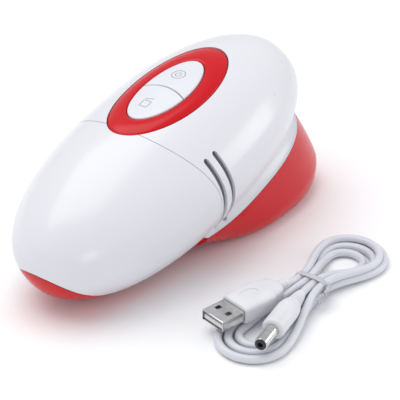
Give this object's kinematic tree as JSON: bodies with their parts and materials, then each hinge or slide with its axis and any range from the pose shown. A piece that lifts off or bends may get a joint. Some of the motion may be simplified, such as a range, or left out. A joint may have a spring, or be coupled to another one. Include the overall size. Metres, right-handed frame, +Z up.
{
  "type": "electric can opener",
  "caption": "Rechargeable hands-free can opener with a glossy egg-shaped body, an oval button panel, a boat-shaped lower casing, and its bundled charging cable lying beside it.",
  "frame": {"origin": "on the surface that the opener stands on, under the middle of its box, the charging cable left out", "axes": "+X from the nose to the tail, +Y to the opener's right-hand side seen from behind its tail looking at the nose, +Z up"},
  "size_m": [0.1699, 0.1308, 0.0734],
  "materials": {
    "white_body": "gloss",
    "white_keys": "satin gloss",
    "red_trim": "gloss",
    "dark_plastic": "matte",
    "gear_nylon": "satin",
    "steel": "brushed",
    "bright_plating": "polished",
    "brass": "satin",
    "circuit_board": "satin",
    "cell_wrap": "gloss",
    "wire_sleeve": "satin",
    "cord_jacket": "satin",
    "cord_fittings": "satin"
  },
  "bodies": {
    "housing": {"arm_pivot_pin": "steel", "arm_spring": "steel", "battery_cell": "cell_wrap", "battery_cradle": "dark_plastic", "battery_lead_left": "wire_sleeve", "battery_lead_right": "wire_sleeve", "belly_screw_1": "steel", "belly_screw_2": "steel", "belly_screw_3": "steel", "belly_screw_4": "steel", "belly_shell": "red_trim", "bezel_ring": "red_trim", "cable_hank": "cord_jacket", "cable_tie": "cord_fittings", "circuit_board": "circuit_board", "cover_screw_1": "steel", "cover_screw_2": "steel", "cover_screw_3": "steel", "cover_screw_4": "steel", "dc_barrel": "bright_plating", "dc_insulator": "dark_plastic", "dc_jack": "dark_plastic", "dc_lead": "cord_jacket", "dc_overmold": "cord_fittings", "first_gear_axle": "steel", "front_shell": "white_body", "gear_plate": "dark_plastic", "jack_lead_left": "wire_sleeve", "jack_lead_right": "wire_sleeve", "lid_magnet": "bright_plating", "lid_release_switch": "dark_plastic", "lower_front_cover": "red_trim", "magnet_holder": "dark_plastic", "motor_can": "steel", "motor_end_cap": "dark_plastic", "power_switch": "dark_plastic", "rear_shell": "white_body", "rim_guide_left": "steel", "rim_guide_right": "steel", "second_gear_axle": "steel", "spindle_bush": "brass", "usb_lead": "cord_jacket", "usb_overmold": "cord_fittings", "usb_shell": "bright_plating", "usb_tongue": "cord_fittings", "vent_screen_left": "dark_plastic", "vent_screen_right": "dark_plastic"},
    "power_button": {"power_button": "white_keys"},
    "lid_release_button": {"lid_release_button": "white_keys"},
    "drive": {"output_gear": "gear_nylon", "drive_spindle": "steel", "drive_wheel": "steel"},
    "second_gear": {"second_gear": "gear_nylon"},
    "first_gear": {"first_gear": "gear_nylon"},
    "rotor": {"motor_shaft": "steel", "motor_pinion": "brass"},
    "cutter_arm": {"cutter_arm": "steel", "cutter_axle": "steel"},
    "cutter_disc": {"cutter_wheel": "steel"}
  },
  "joints": [
    {"name": "power_button_press", "type": "slide", "parent": "housing", "child": "power_button", "axis": [0.2164, 0, -0.9763], "range_m": [0, 0.0012], "stiffness_N_per_m": 900, "springref_m": -0.0006},
    {"name": "lid_release_button_press", "type": "slide", "parent": "housing", "child": "lid_release_button", "axis": [0.2164, 0, -0.9763], "range_m": [0, 0.0012], "stiffness_N_per_m": 900, "springref_m": -0.0006},
    {"name": "drive_spin", "type": "hinge", "parent": "housing", "child": "drive", "pos_m": [-0.02556, 0, 0.0127], "axis": [-0.2164, 0, 0.9763], "continuous": true},
    {"name": "second_gear_spin", "type": "hinge", "parent": "housing", "child": "second_gear", "pos_m": [-0.01111, 0, 0.0159], "axis": [-0.2164, 0, 0.9763], "continuous": true},
    {"name": "first_gear_spin", "type": "hinge", "parent": "housing", "child": "first_gear", "pos_m": [0.0053, 0, 0.01954], "axis": [-0.2164, 0, 0.9763], "continuous": true},
    {"name": "rotor_spin", "type": "hinge", "parent": "housing", "child": "rotor", "pos_m": [0.02326, 0, 0.02352], "axis": [-0.2164, 0, 0.9763], "continuous": true},
    {"name": "cutter_swing", "type": "hinge", "parent": "housing", "child": "cutter_arm", "pos_m": [-0.00798, 0.011, 0.01659], "axis": [-0.2164, 0, 0.9763], "range_deg": [-15.5, 0], "stiffness_Nm_per_rad": 0.05, "springref_deg": 5.73},
    {"name": "cutter_disc_spin", "type": "hinge", "parent": "cutter_arm", "child": "cutter_disc", "pos_m": [-0.00652, 0, 0.01692], "axis": [-0.2164, 0, 0.9763], "continuous": true}
  ],
  "couplings": [
    {"joint": "second_gear_spin", "follows": "drive_spin", "ratio": -2.0833},
    {"joint": "first_gear_spin", "follows": "drive_spin", "ratio": 5.2083},
    {"joint": "rotor_spin", "follows": "drive_spin", "ratio": -18.75}
  ]
}
